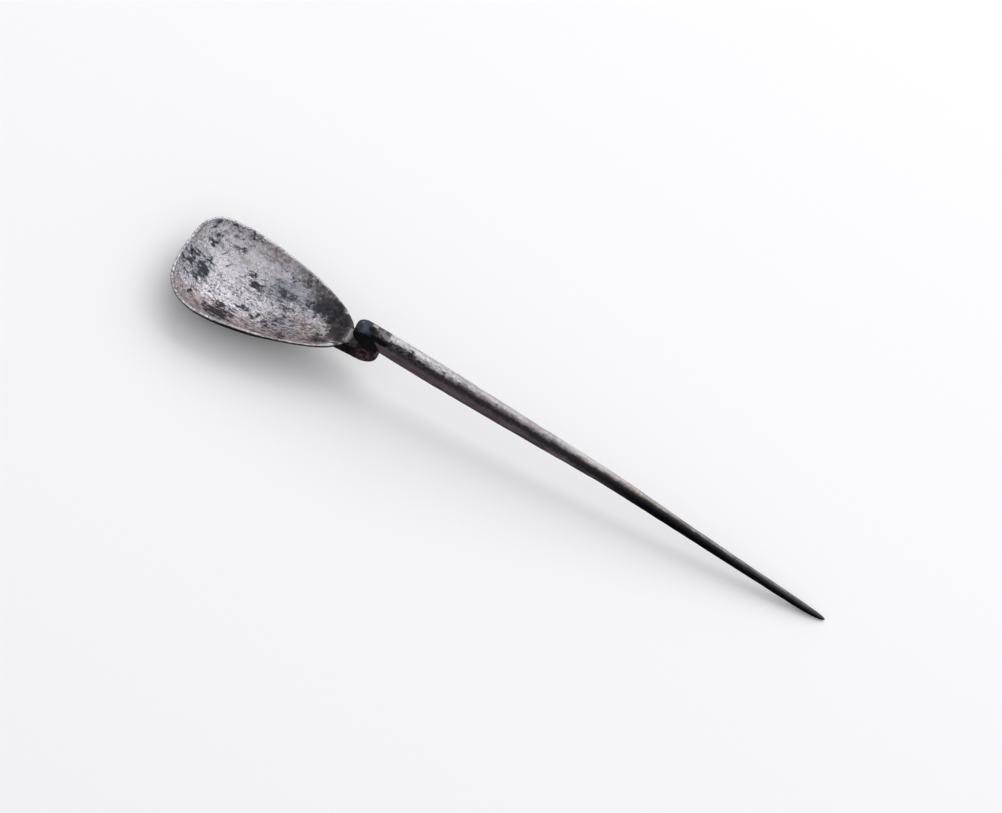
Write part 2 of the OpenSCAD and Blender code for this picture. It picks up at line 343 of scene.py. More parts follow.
gl.new(blows.outputs["Points"], which.inputs["Geometry"])
force = gn.new("FunctionNodeRandomValue")
force.inputs["Min"].default_value, force.inputs["Max"].default_value = 0.3, 1.0
gl.new(given.outputs["Seed"], force.inputs["Seed"])
struck = gn.new("GeometryNodeSampleIndex")
struck.domain = "POINT"
gl.new(blows.outputs["Points"], struck.inputs["Geometry"])
gl.new(force.outputs[1], struck.inputs["Value"])
gl.new(which.outputs["Index"], struck.inputs["Index"])


def gn_math(operation, a, b):
    step = gn.new("ShaderNodeMath")
    step.operation = operation
    for socket, value in zip(step.inputs, (a, b)):
        if isinstance(value, (int, float)):
            socket.default_value = value
        else:
            gl.new(value, socket)
    return step.outputs[0]


share_out = gn_math("DIVIDE", nearness.outputs["Distance"], given.outputs["Mark radius"])
dish = gn_math("MAXIMUM", gn_math("SUBTRACT", 1.0, gn_math("MULTIPLY", share_out, share_out)), 0.0)
dish = gn_math("MULTIPLY", dish, struck.outputs["Value"])
sunk = gn_math("MULTIPLY", dish, given.outputs["Mark depth"])
facing = gn.new("GeometryNodeInputNormal")
inwards = gn.new("ShaderNodeVectorMath")
inwards.operation = "SCALE"
gl.new(facing.outputs[0], inwards.inputs[0])
gl.new(gn_math("MULTIPLY", sunk, -1.0), inwards.inputs["Scale"])
pushed = gn.new("GeometryNodeSetPosition")
gl.new(given.outputs["Geometry"], pushed.inputs["Geometry"])
gl.new(inwards.outputs[0], pushed.inputs["Offset"])
whole = gn.new("GeometryNodeRealizeInstances")
gl.new(pushed.outputs[0], whole.inputs[0])
coated = gn.new("GeometryNodeSetMaterial")
gl.new(whole.outputs[0], coated.inputs["Geometry"])
gl.new(given.outputs["Metal"], coated.inputs["Material"])
gl.new(coated.outputs[0], result.inputs[0])

silver = bpy.data.materials.new("tarnished_silver")
marks = joined.modifiers.new("planishing", "NODES")
marks.node_group = planishing
sockets = {s.name: s.identifier for s in planishing.interface.items_tree if s.in_out == "INPUT"}
for name, value in (("Marks per area", 0.16), ("Mark radius", 1.7), ("Mark depth", 0.05),
                    ("Seed", 5), ("Metal", silver)):
    marks[sockets[name]] = value
apply_modifiers(joined)

# The patina, and painted light and shade.
# Handling keeps the hollow light, with black sulphide in patches of it and brown and bluish films
# between them. Along the bar, a light band on top is partly rubbed metal and partly a painted highlight,
# and its lower sides are painted shade. Each film is a field kept on the mesh, set out in millimetres
# along the spoon.
place = positions(joined.data)
joined.data.update()
face = positions(joined.data, what="normal")
X, Y, Z = place.T
hollow = bell(X, -5, bowl_len - 0.3, 1.0) * np.clip((face[:, 2] - 0.1) / 0.15, 0, 1)

# The films have crept, so where they lie is warped a little by a few random waves
creep = np.random.default_rng(3)
waves = [(creep.normal(0, 1, 2) * 2.2, creep.uniform(0, 6.3), creep.normal(0, 0.11, 2))
         for _ in range(14)]
crept = np.stack([X, Y]) + sum(way[:, None] * np.sin(k[0] * X + k[1] * Y + phase)
                               for k, phase, way in waves)
spot_growth = 1.2


def patches(spots_mm, at=crept):
    """Highest of several oval patches: x, y, half length and width, turn in degrees, strength."""
    field = np.zeros(len(X))
    for x, y, length, width, turn, strength in spots_mm:
        c, s = math.cos(math.radians(turn)), math.sin(math.radians(turn))
        u, v = (at[0] - x) * c + (at[1] - y) * s, (at[1] - y) * c - (at[0] - x) * s
        field = np.maximum(field, strength * np.exp(-((u / length) ** 2 + (v / width) ** 2) ** 1.4))
    return field


def spread(spots_mm):
    """The same patches, grown by spot_growth."""
    return patches([(x, y, spot_growth * length, spot_growth * width, turn, strength)
                    for x, y, length, width, turn, strength in spots_mm])


black_spots = [
    (2.5, 1.8, 1.9, 0.5, 38, 1.0), (2.3, -0.2, 1.4, 0.4, 38, 0.9), (6.2, 3.5, 1.1, 0.5, 62, 0.85),
    (5.6, 0.6, 1.1, 1.1, 0, 1.1), (5.3, -1.7, 1.5, 0.5, 14, 0.95), (2.7, -3.2, 0.5, 0.4, 30, 0.7),
    (5.4, -5.8, 0.5, 0.7, 0, 0.75), (11.8, -6.9, 2.5, 1.3, 3, 1.2), (12.2, -4.2, 0.9, 0.9, 0, 1.1),
    (14.4, -5.1, 1.1, 0.8, -8, 1.0), (10.4, -3.8, 0.7, 0.3, 0, 0.8), (16.8, 4.1, 1.5, 0.7, 0, 0.9),
    (15.2, 5.9, 1.3, 0.25, -10, 0.6), (16.2, -1.8, 1.3, 0.5, 0, 0.8), (18.4, -2.8, 0.5, 0.4, 0, 0.8),
    (5.6, 8.9, 0.7, 0.6, 60, 0.75), (5.5, 7.3, 1.0, 0.5, 15, 0.85), (3.9, 9.9, 1.2, 0.6, 45, 0.5),
    (7.5, 11.4, 1.2, 0.3, -10, 0.8), (12.2, 11.5, 0.7, 0.3, 0, 0.9), (11.2, 8.8, 0.7, 0.4, 0, 0.6),
    (22.1, 5.2, 1.4, 0.8, 0, 0.55), (24.4, 4.7, 0.8, 0.6, 0, 0.55), (29.8, 3.7, 0.7, 1.3, 0, 1.0),
    (27.9, 4.5, 1.0, 0.4, 0, 0.7), (33.1, 2.8, 1.4, 0.9, -10, 1.0), (33.6, 4.0, 2.7, 1.1, -22, 0.65),
    (34.8, 0.3, 1.4, 1.2, 0, 0.6), (36.5, -2.2, 0.9, 0.6, 0, 0.9), (32.5, -3.1, 1.6, 1.5, 20, 0.8),
    (36.2, 2.2, 1.2, 1.1, -40, 1.0), (35.6, -1.2, 0.9, 0.7, 0, 0.9), (23.7, -1.0, 0.6, 1.7, -20, 0.6),
    (19.3, -2.6, 0.6, 0.7, -20, 0.85),
    (21.6, -3.3, 0.9, 0.6, 0, 0.7), (25.7, -6.6, 0.8, 1.8, 12, 0.7), (20.8, -7.4, 1.1, 1.2, 5, 0.5),
    (18.2, 2.1, 1.1, 0.3, 0, 0.4), (24.5, 2.1, 2.0, 0.6, -6, 0.55), (9.4, 2.1, 1.3, 0.3, 0, 0.35)]
blue_films = [
    (22.5, 5.5, 3.6, 1.9, 0, 1.0), (28.5, 4.6, 2.9, 2.2, 0, 1.05), (5.7, 8.1, 1.2, 1.7, 0, 0.8),
    (5.5, 0.2, 2.2, 2.6, 0, 0.8), (5.5, 3.1, 1.8, 1.2, 0, 0.8), (24.5, -1.3, 2.8, 1.9, -10, 0.55),
    (11.5, 11.0, 1.8, 0.6, 0, 0.5)]
brown_films = [
    (26.5, 7.9, 4.6, 1.2, -14, 0.57), (32.4, 4.8, 4.0, 1.7, -22, 0.9), (35.9, -0.2, 1.9, 2.3, 0, 1.4),
    (34.6, 2.4, 1.8, 1.8, 0, 1.2), (36.6, 2.8, 1.2, 1.5, 0, 1.4), (36.4, -2.2, 1.2, 1.0, 30, 1.3),
    (19.2, 10.1, 3.5, 0.4, -8, 0.3), (9.7, 11.4, 4.0, 0.4, 0, 0.35), (32.7, 1.8, 3.0, 1.2, 0, 0.4),
    (3.7, 9.5, 2.0, 1.0, 30, 0.3)]
warm_films = [
    (13.6, -7.6, 12.0, 3.6, 0, 1.0), (26.5, -6.4, 7.0, 2.4, 22, 1.4), (20.0, -8.8, 6.0, 1.3, 10, 1.2),
    (17.2, 10.1, 4.5, 1.0, -6, 0.6), (2.2, 6.3, 1.5, 2.0, 0, 0.5), (22.7, -1.6, 4.0, 2.4, 0, 0.6),
    (27.0, -1.8, 4.5, 2.8, 10, 1.2)]
straw_films = [(30.8, -1.2, 3.2, 2.0, 12, 0.75), (33.2, 1.0, 1.8, 0.8, 0, 0.7),
               (12.6, 7.4, 2.0, 0.8, 0, 0.6)]
bar_spots = [
    (46.4, -1.15, 1.5, 0.6, 0, 1.4), (48.0, -0.9, 1.4, 0.6, 0, 1.0), (50.5, -0.6, 0.8, 1.0, 0, 1.5),
    (53.4, -1.0, 1.3, 0.5, 0, 0.9), (57.5, -0.9, 1.1, 0.5, 0, 0.7), (63.0, -0.9, 1.8, 0.5, 0, 0.7),
    (78.0, -0.6, 1.8, 0.4, 0, 0.7), (57.5, 0.7, 0.6, 0.4, 0, 0.5), (70.5, -0.7, 1.4, 0.4, 0, 0.6)]
# Tone of the metal under the films: lighter in some places, and duller in others
light_tones = [
    (9.5, 5.5, 4.5, 3.6, 0, 0.7), (15.5, 8.8, 8.0, 1.9, -6, 1.0), (7.0, 9.5, 4.5, 2.5, 0, 0.3),
    (23.0, 7.8, 4.0, 1.7, -14, 1.1), (10.5, 10.3, 4.0, 1.2, 0, 0.4), (3.0, 6.5, 2.0, 3.0, 0, 0.3),
    (31.5, 1.0, 3.0, 1.2, -15, 0.35), (7.8, -1.0, 1.2, 4.0, 0, 0.3)]
dull_tones = [
    (24.0, -3.4, 4.5, 2.6, 0, 0.75), (21.5, 4.0, 4.0, 1.6, 0, 0.5), (4.8, -1.0, 2.8, 4.5, 0, 0.35),
    (13.0, 10.6, 5.0, 0.7, 0, 0.25), (27.5, -2.6, 4.5, 3.0, 12, 0.6)]

# The line along the top of the rim, partly worn and partly a painted highlight, and painted shade on the
# edge below it on the near side
rim_gap = np.full(len(X), 9.0)
near_rim = (X < rim_end_x + 0.5) & (Z > -2.0)
rim_gap[near_rim] = [np.hypot(*(outline - q).T).min() for q in place[near_rim, :2]]
out_way = place[:, :2] - deepest
out_way /= np.linalg.norm(out_way, axis=1)[:, None]
rolled = (face[:, :2] * out_way).sum(1)
near_side = np.clip(0.2 - 1.5 * out_way[:, 1], 0, 1)
near_edge = near_side * np.clip((rolled - np.interp(X, [22, 30], [0.7, 0.15])) / 0.3, 0, 1)
rim_line = np.exp(-((rim_gap - 0.2 - near_side * np.interp(X, [22, 30], [0.07, 0.25])) / 0.19) ** 2)
rim_line *= np.clip((Z + 0.3) / 0.3, 0, 1) * np.clip(face[:, 2] / 0.3, 0, 1) * (1 - near_edge)

# Where the bowl's outside, the neck, the step and the bar begin and end
band_from = plate_rear_x + 0.65
upward = np.clip((face[:, 2] - 0.3) / 0.3, 0, 1)
on_bar = bell(X, band_from, 200, np.where(upward > 0.5, 0.15, 2.0))
on_step = bell(X, np.where(Z > 1.6, bowl_len - 2, bowl_len + 1.0), band_from, 0.3)
neck_top = (bell(X, bowl_len - 0.3, bowl_len + 2.4, 0.3) * np.clip(face[:, 2] / 0.3 + 0.5, 0, 1)
            * bell(Z, -0.8, 1.3, 0.3) * bell(Y, -2.0, 1.2, 0.4))
outside = np.clip((0.2 - face[:, 2]) / 0.3, 0, 1)
outside[(np.abs(Y) < 2.2) & (X > 31) & (Z < -1) & (face[:, 2] < 0.6)] = 1
outside = np.maximum(outside * bell(X, -5, bowl_len + 0.5, 0.8), bell(X, bowl_len, 99, 0.3))
faces_up = face[:, 2] > np.where(Y < 0.8, 0.0, 0.4)
bar_from = np.where(faces_up & (Z < 1.6) & (Z > -0.9), bowl_len + 2.0,
                    np.where(Z < -2.5, 34.5, bowl_len - 1.6))
bar_soft = np.where(Z < -1.5, 2.0, 0.5)

# How far a point of the bar lies toward its upper far side, 1, or its lower near side, -1
along_bar = np.clip((X - butt_x) / handle_len, 0, 1)
axis_z = np.array([handle_z(v) for v in along_bar])
thick = bar_h - (bar_h - point_d) * np.maximum(0, along_bar - taper_at) / (1 - taper_at)
lie = math.radians(35)
across_bar = (Y * math.cos(lie) + (Z - axis_z) * math.sin(lie)) / (0.62 * thick)
height_in_bar = (Z - axis_z) / (0.5 * thick)
far_side = np.clip(face[:, 1] / 0.7, 0, 1)
across_bar += far_side * (1.1 * height_in_bar - 0.25 - across_bar)
near_face = np.clip(-face[:, 1] / 0.5, 0, 1)
# The near face at the start of the bar is painted brown as shade, like the bar's lower side
brown_face = near_face * np.clip((X - 42.1 - 0.96 * (4.8 - Z)) / 0.5, 0, 1)
brown_face *= np.clip((Z - 1.2) / 0.3, 0, 1) * np.clip((-0.25 - across_bar) / 0.2, 0, 1)
# On the butt: a bluish skin, a small painted highlight, a black dent and a yellowish patch behind it
butt_marks = {"blue": [(40.0, 0.0, 2.1, 2.4, 0, 1.1)], "bright": [(39.2, 0.7, 0.3, 0.25, 0, 1.0)],
              "black": [(41.8, -0.3, 1.3, 1.0, -8, 1.1)], "yellow": [(41.8, 1.05, 0.8, 0.38, 0, 1.0)]}
on_butt = on_step * np.clip((face[:, 2] + 0.15) / 0.6, 0, 1) * np.clip((Z - 2.5) / 1.0, 0, 1)
butt_marks = {name: on_butt * patches(spots, (X, Y)) for name, spots in butt_marks.items()}
fields = {
    "sulphide": hollow * spread(black_spots) + on_bar * upward * spread(bar_spots),
    "blue": hollow * spread(blue_films),
    "brown": hollow * spread(brown_films) * (1 - neck_top),
    "warm": hollow * spread(warm_films),
    "straw": hollow * spread(straw_films),
    "tone": hollow * (patches(light_tones) - patches(dull_tones)),
    "outside": outside,
    "shade under rim": np.maximum(outside * np.exp(-(rim_gap / 0.9) ** 2), near_edge * (rim_gap < 0.5)),
    "rim": rim_line * np.interp(Y, [-6, 2], [0.72, 1]) * np.clip(0.2 + (X - 2.5) / 4, 0, 1)
           * np.interp(X, [20, 30, 35, 36.5], [1, 0.85, 0.8, 0.45]),
    "neck": neck_top,
    "neck clear of shadow": np.clip((bowl_len + 1.4 - X + 0.25 * Y) / 1.2, 0, 1),
    "across": across_bar,
    # Where the bar's light band lies: partly wear, partly a painted highlight
    "wear_and_highlight": across_bar - np.interp(X, [46, 52, 70, 86, 96, 104, 150],
                                      [0.27, 0.38, 0.42, 0.44, 0.52, 0.63, 0.65]),
    # How low a point lies on the bar, for the painted shade along its lower side
    "low": across_bar + np.interp(X, [70, 90], [0, 0.15]),
    "band": on_bar,
    "bar": np.clip((X - bar_from) / bar_soft + 0.5, 0, 1) * (X > 32)
           * np.where(X < bowl_len, np.abs(Y) < 2.3, 1),
    "belly": np.exp(-((X - 17) / 9) ** 2 - (Y / 6.5) ** 2),
    "step": on_step,
    "brown face": brown_face,
    "keel shade": np.maximum(np.clip((41.8 - X) / 2.5, 0, 1), np.clip((-3.5 - Z) / 0.6, 0, 1)),
    "golden": np.exp(-((X - 107) / 11) ** 2),
    "bright stretch": np.exp(-((X - 93) / 7) ** 2) - 0.6 * np.exp(-((X - 79.5) / 4) ** 2),
    "rosy": np.exp(-((X - 74) / 12) ** 4),
    "point": np.clip((X - 86) / 60, 0, 1),
    # Black on the step: partly sulphide, partly painted shade under the butt's overhang
    "soot and shade": on_step * np.clip((Z + 0.1) / 1.4, 0, 1) * (1 - brown_face)
            * (1 - upward * np.clip((across_bar + 0.02) / 0.15, 0, 1))
            * (1 - 0.55 * np.clip(face[:, 1] / 0.5, 0, 1) * np.clip((X - 42) / 3, 0, 1)),
}
fields.update({"butt " + name: values for name, values in butt_marks.items()})
for name, values in fields.items():
    kept = joined.data.attributes.new(name, "FLOAT", "POINT")
    kept.data.foreach_set("value", values.astype(np.float32))

silver.use_nodes = True
sn, sl = silver.node_tree.nodes, silver.node_tree.links
shader = sn["Principled BSDF"]
in_mm = sn.new("ShaderNodeVectorMath")
in_mm.operation = "SCALE"
in_mm.inputs["Scale"].default_value = 1000.0
sl.new(sn.new("ShaderNodeTexCoord").outputs["Object"], in_mm.inputs[0])

tints = {
    "light metal": (0.77, 0.745, 0.79), "mid metal": (0.36, 0.35, 0.38),
    "dark metal": (0.05, 0.05, 0.06), "glint": (0.97, 0.95, 0.99), "gouge": (0.05, 0.05, 0.058),
    "warm dark": (0.115, 0.085, 0.083), "warm light": (0.39, 0.282, 0.262),
    "straw dark": (0.16, 0.14, 0.115), "straw light": (0.46, 0.41, 0.335),
    "blue dark": (0.09, 0.098, 0.13), "blue light": (0.37, 0.385, 0.46),
    "brown thin": (0.16, 0.14, 0.135), "brown dark": (0.036, 0.030, 0.032),
    "brown light": (0.10, 0.084, 0.080), "spot thin": (0.10, 0.105, 0.125),
    "spot": (0.024, 0.026, 0.031), "spot blue": (0.055, 0.062, 0.082),
    "spot fleck": (0.07, 0.072, 0.08), "rim": (0.53, 0.51, 0.51), "shade under rim": (0.012, 0.010, 0.012),
    "back dark": (0.035, 0.030, 0.032), "back light": (0.13, 0.115, 0.115),
    "belly dark": (0.13, 0.125, 0.13), "belly light": (0.34, 0.33, 0.345),
    "back brown": (0.075, 0.052, 0.048), "back black": (0.018, 0.018, 0.022),
    "neck dark": (0.052, 0.053, 0.048), "neck light": (0.27, 0.265, 0.25),
    "low": (0.026, 0.022, 0.026), "low dark": (0.068, 0.053, 0.060),
    "low light": (0.155, 0.125, 0.137), "side black": (0.0045, 0.004, 0.005),
    "side dark": (0.016, 0.0135, 0.0155), "side upper": (0.034, 0.032, 0.034),
    "side tip": (0.085, 0.083, 0.09), "band dark": (0.36, 0.35, 0.365),
    "band light": (0.63, 0.61, 0.635), "band pit": (0.16, 0.155, 0.17),
    "band crack": (0.12, 0.115, 0.125), "band glint": (0.92, 0.90, 0.93),
    "band edge shade": (0.20, 0.185, 0.19), "rosy": (0.46, 0.395, 0.41), "golden": (0.50, 0.43, 0.36),
    "dull stretch": (0.26, 0.225, 0.24), "bright stretch": (0.76, 0.71, 0.69), "tip": (0.20, 0.195, 0.20),
    "bar spot dark": (0.010, 0.010, 0.013), "bar spot light": (0.055, 0.054, 0.064),
    "step top black": (0.012, 0.010, 0.012), "step top dark": (0.06, 0.056, 0.062),
    "step top light": (0.19, 0.18, 0.19), "step dark": (0.026, 0.019, 0.022),
    "step light": (0.100, 0.068, 0.076), "keel": (0.010, 0.008, 0.009),
    "soot and shade": (0.0045, 0.0050, 0.0064), "butt black": (0.009, 0.011, 0.011),
    "butt blue dark": (0.030, 0.032, 0.042), "butt blue light": (0.085, 0.092, 0.120),
    "butt yellow": (0.40, 0.385, 0.30), "butt bright": (0.15, 0.15, 0.175),
}


def feed(socket, value):
    """Gives a socket a number, a tint by its name, or another node's output."""
    if isinstance(value, (int, float)):
        socket.default_value = value
    elif isinstance(value, str):
        socket.default_value = tints[value] + (1,)
    else:
        sl.new(value, socket)


def grain(per_mm, detail=5, stretch=(1, 1, 1), turn=0.0, start=0.0, rough=0.6, swirl=0.0):
    """Cloudy pattern of so many cells per millimetre, drawn out along the spoon or across it."""
    lay = sn.new("ShaderNodeMapping")
    lay.inputs["Rotation"].default_value = (0, 0, math.radians(turn))
    lay.inputs["Scale"].default_value = tuple(per_mm * k for k in stretch)
    lay.inputs["Location"].default_value = (start, start, start)
    sl.new(in_mm.outputs[0], lay.inputs[0])
    noise = sn.new("ShaderNodeTexNoise")
    noise.inputs["Scale"].default_value = 1.0
    noise.inputs["Detail"].default_value = detail
    noise.inputs["Roughness"].default_value = rough
    noise.inputs["Distortion"].default_value = swirl
    sl.new(lay.outputs[0], noise.inputs["Vector"])
    return between(noise.outputs["Fac"], 0.27, 0.73)


def calc(operation, a, b=0.0):
    step = sn.new("ShaderNodeMath")
    step.operation = operation
    feed(step.inputs[0], a)
    feed(step.inputs[1], b)
    return step.outputs[0]


def times(*factors):
    total = factors[0]
    for factor in factors[1:]:
        total = calc("MULTIPLY", total, factor)
    return total


def between(value, low, high, to_low=0.0, to_high=1.0):
    step = sn.new("ShaderNodeMapRange")
    step.interpolation_type = "SMOOTHSTEP"
    for name, v in (("Value", value), ("From Min", low), ("From Max", high),
                    ("To Min", to_low), ("To Max", to_high)):
        feed(step.inputs[name], v)
    return step.outputs[0]


def over(under, top, cover):
    step = sn.new("ShaderNodeMix")
    step.data_type = "RGBA"
    feed(step.inputs["Factor"], cover)
    feed(step.inputs["A"], under)
    feed(step.inputs["B"], top)
    return step.outputs["Result"]


def field(name):
    read = sn.new("ShaderNodeAttribute")
    read.attribute_name = name
    return read.outputs["Fac"]


def ragged(value, mid_part, fine_part, low, high):
    """A field whose border is broken up by the clouds and the grain."""
    loose = calc("ADD", times(calc("SUBTRACT", clouds, 0.5), mid_part),
                 times(calc("SUBTRACT", fine_grain, 0.5), fine_part))
    return between(calc("ADD", value, loose), low, high)


fine_grain = grain(2.0, 4, (0.95, 1, 1), 0, 3.0, 0.75, 0.6)
clouds = grain(0.62, 5, (0.85, 1, 1), 0, 9.0, 0.7, 0.4)
islands = between(grain(1.05, 5, (0.9, 1, 1), 0, 51.0, 0.72, 0.7), 0.36, 0.64)
drift = grain(0.28, 4, (0.8, 1.2, 1.2), 0, 21.0)
specks = grain(1.5, 3, (0.9, 1.1, 1.1), 0, 70.0, 0.75)
cracks = calc("ABSOLUTE", calc("SUBTRACT", grain(2.1, 3, (0.75, 1.2, 1.2), -25, 44.0, 0.6, 0.9), 0.5))
cracks = between(cracks, 0.0, 0.09, 1.0, 0.0)
flecks = between(grain(2.4, 3, (1, 1, 1), 30, 90.0, 0.7, 0.5), 0.66, 0.84)
hairs = calc("ABSOLUTE", calc("SUBTRACT", grain(1.0, 4, (0.8, 1.3, 1.3), 12, 33.0, 0.65), 0.5))
scores = between(grain(0.8, 2, (0.14, 4.0, 4.0), 52, 5.0), 0.62, 0.72)
scores = calc("MAXIMUM", scores, between(grain(0.8, 2, (0.16, 3.6, 3.6), -24, 15.0), 0.66, 0.76))

mixed = calc("ADD", calc("ADD", times(fine_grain, 0.33), times(islands, 0.27)),
             calc("ADD", times(clouds, 0.25), times(drift, 0.15)))
unevenness = calc("SUBTRACT", mixed, 0.5)
tone = calc("ADD", mixed, times(field("tone"), 0.32))
kept_clean = between(field("tone"), 0.1, 0.7, 1.0, 0.35)

# Inside of the bowl: metal, then its thin films, then the black patches, then scratches
colour = over("mid metal", "light metal", between(tone, 0.30, 0.74))
colour = over(colour, "dark metal", times(between(tone, 0.24, 0.44, 1.0, 0.0), 0.6))
colour = over(colour, "dark metal", times(between(hairs, 0.0, 0.09, 1.0, 0.0), clouds, kept_clean, 0.7))
colour = over(colour, "dark metal", times(cracks, between(clouds, 0.2, 0.7, 0.35, 0.75)))
colour = over(colour, "glint", times(flecks, 0.85))
warm_cover = times(ragged(field("warm"), 0.5, 0.5, 0.25, 0.8), between(fine_grain, 0.1, 0.8, 0.7, 1.0))
colour = over(colour, over("warm dark", "warm light", between(tone, 0.25, 0.62)), warm_cover)
straw_cover = times(ragged(field("straw"), 0.5, 0.5, 0.25, 0.8), between(fine_grain, 0.1, 0.8, 0.6, 0.9))
colour = over(colour, over("straw dark", "straw light", between(tone, 0.25, 0.6)), straw_cover)
blue_cover = times(ragged(field("blue"), 0.7, 0.6, 0.2, 0.75), 0.85)
colour = over(colour, over("blue dark", "blue light", between(tone, 0.3, 0.7)), blue_cover)
colour = over(colour, "spot thin", times(ragged(field("sulphide"), 0.5, 0.6, 0.12, 0.62), 0.6))
brown = over("brown thin", over("brown dark", "brown light", fine_grain),
             ragged(field("brown"), 0.3, 0.2, 0.3, 0.9))
colour = over(colour, brown, times(ragged(field("brown"), 0.3, 0.35, 0.15, 0.7), 0.93))
sooty = ragged(field("sulphide"), 0.95, 0.8, 0.42, 0.70)
soot_colour = over("spot", "spot blue", times(field("blue"), 0.6))
soot_colour = over(soot_colour, "spot fleck", between(fine_grain, 0.4, 0.9))
colour = over(colour, soot_colour, times(sooty, 0.9))
colour = over(colour, "gouge", times(between(field("gouged"), 0.2, 0.8), between(clouds, 0.1, 0.5), 0.8))
colour = over(colour, "dark metal", times(between(specks, 0.66, 0.80), kept_clean, 0.75))
colour = over(colour, "light metal", times(scores, 0.4, between(field("sulphide"), 0.1, 0.5, 1.0, 0.0),
                                           between(field("brown"), 0.1, 0.5, 1.0, 0.1)))

# Outside of the bowl, the rim and the neck
back = over("back dark", "back light", between(tone, 0.3, 0.65))
back = over(back, over("belly dark", "belly light", between(tone, 0.25, 0.65)),
            times(ragged(field("belly"), 0.7, 0.4, 0.25, 0.9), 0.85))
back = over(back, "back brown", times(between(drift, 0.5, 0.75), 0.7))
back = over(back, "back black", times(between(clouds, 0.62, 0.8), 0.75))
colour = over(colour, back, field("outside"))
# Painted shade below the rim: on the outside near it and on the near side's edge
colour = over(colour, "shade under rim", times(ragged(field("shade under rim"), 0.4, 0.3, 0.15, 0.5), 0.9))
# The rim's top line: partly wear, partly a painted highlight, brighter on the far side
colour = over(colour, "rim", times(ragged(field("rim"), 0.6, 0.35, 0.4, 0.8), 0.85))
# The neck: mid grey where it faces up, darkening towards the butt as a painted shadow under it
neck_colour = over("neck dark", "neck light", ragged(field("neck clear of shadow"), 0.35, 0.35, 0.3, 0.95))
colour = over(colour, neck_colour, times(ragged(field("neck"), 0.3, 0.3, 0.2, 0.6), 0.92))

# The bar: a lower side in brown, painted shade, that turns black past the bend, also painted shade, and
# a light band along the top, partly rubbed metal and partly a painted highlight
across = calc("ADD", field("across"), times(unevenness, 0.25))
past_bend, tip = between(field("point"), 0.0, 0.35), between(field("point"), 0.5, 1.0)
drawn = grain(0.5, 4, (0.3, 1, 1), 0, 13.0, 0.65, 0.3)
# Painted shade: the bar's lower near side in brown, turning black past the bend
lowness = between(calc("ADD", field("low"), times(unevenness, 0.3)), -0.6, -0.1, 1.0, 0.0)
low_side = over("low", over("low dark", "low light", drawn), lowness)
blackness = between(calc("ADD", across, times(drawn, 0.3)), -0.9, -0.2, 1.0, 0.0)
black_side = over(over("side black", "side dark", blackness), over("side upper", "side tip", tip),
                  between(across, -0.3, 0.55))
low_side = over(low_side, black_side, past_bend)
# Painted highlight and wear: the light band on top of the bar, placed by how far up and back each point
# lies
wear_and_highlight = calc("ADD", field("wear_and_highlight"), times(unevenness, 0.25))
wear_and_highlight = between(calc("ADD", wear_and_highlight, times(calc("SUBTRACT", drawn, 0.5), 0.15)), -0.36, 0.38)
streaks = calc("ADD", times(drawn, 0.6), times(mixed, 0.4))
band = over("band dark", "band light", between(streaks, 0.25, 0.70))
band = over(band, "band pit", times(between(fine_grain, 0.2, 0.55, 1.0, 0.0), clouds, 0.9))
band = over(band, "band crack", times(cracks, 0.35))
band = over(band, "band glint", times(flecks, 0.5))
# Painted shade along the band's upper far edge
band = over(band, "band edge shade", times(between(field("across"), 0.72, 0.97), 0.45))
band = over(band, "rosy", times(field("rosy"), between(mixed, 0.2, 0.7, 0.7, 0.2)))
# The band is duller near x 80 and lighter near x 93
band = over(band, "dull stretch", times(field("bright stretch"), between(mixed, 0.2, 0.7, -1.2, -0.6)))
band = over(band, "golden", times(field("golden"), between(fine_grain, 0.1, 0.7, 0.4, 0.9)))
band = over(band, "bright stretch", times(field("bright stretch"), between(fine_grain, 0.1, 0.7, 0.5, 1.0), 0.8))
band = over(band, "tip", times(tip, 0.8))
bar_metal = over(low_side, band, wear_and_highlight)
bar_metal = over(bar_metal, over("bar spot dark", "bar spot light", between(mixed, 0.35, 0.75)),
                 times(sooty, between(field("sulphide"), 0.1, 0.4), 0.92))

# The step, nearly black, with the brown near face painted as shade, painted shade towards the bowl and
# the keel's bottom, black that is partly sulphide and partly painted shade under the butt, and the marks
# on the butt, one a painted highlight
# The step's top: painted shade along its near edge, then mottled grey towards the far side
step_top = over("step top black", over("step top dark", "step top light", islands),
                between(across, 0.02, 0.42))
step_metal = over("step dark", "step light", between(mixed, 0.3, 0.7))
# Painted shade: darker towards the bowl and the keel's bottom edge
step_metal = over(step_metal, "keel", times(field("keel shade"), 0.8))
step_metal = over(step_metal, step_top, between(field("across"), -0.12, 0.05))
step_metal = over(step_metal, low_side, ragged(field("brown face"), 0.3, 0.3, 0.3, 0.7))
# Black on the step, less where it faces up or away: partly sulphide in the recess, partly painted shade
# under the butt
black = ragged(field("soot and shade"), 0.6, 0.5, 0.3, 0.7)
step_metal = over(step_metal, "soot and shade", times(black, 0.96))
step_metal = over(step_metal, over("butt blue dark", "butt blue light", clouds),
                  ragged(field("butt blue"), 0.15, 0.2, 0.2, 0.85))
step_metal = over(step_metal, "butt black",
                  times(ragged(field("butt black"), 0.45, 0.3, 0.15, 0.95), 0.9))
step_metal = over(step_metal, "butt yellow", ragged(field("butt yellow"), 0.15, 0.25, 0.35, 0.75))
# Painted highlight: the small bright spot on the butt
step_metal = over(step_metal, "butt bright", ragged(field("butt bright"), 0.3, 0.4, 0.3, 0.7))
bar_metal = over(step_metal, bar_metal, ragged(field("band"), 0.5, 0.4, 0.35, 0.65))
colour = over(colour, bar_metal, ragged(field("bar"), 0.35, 0.2, 0.3, 0.7))
sl.new(colour, shader.inputs["Base Color"])

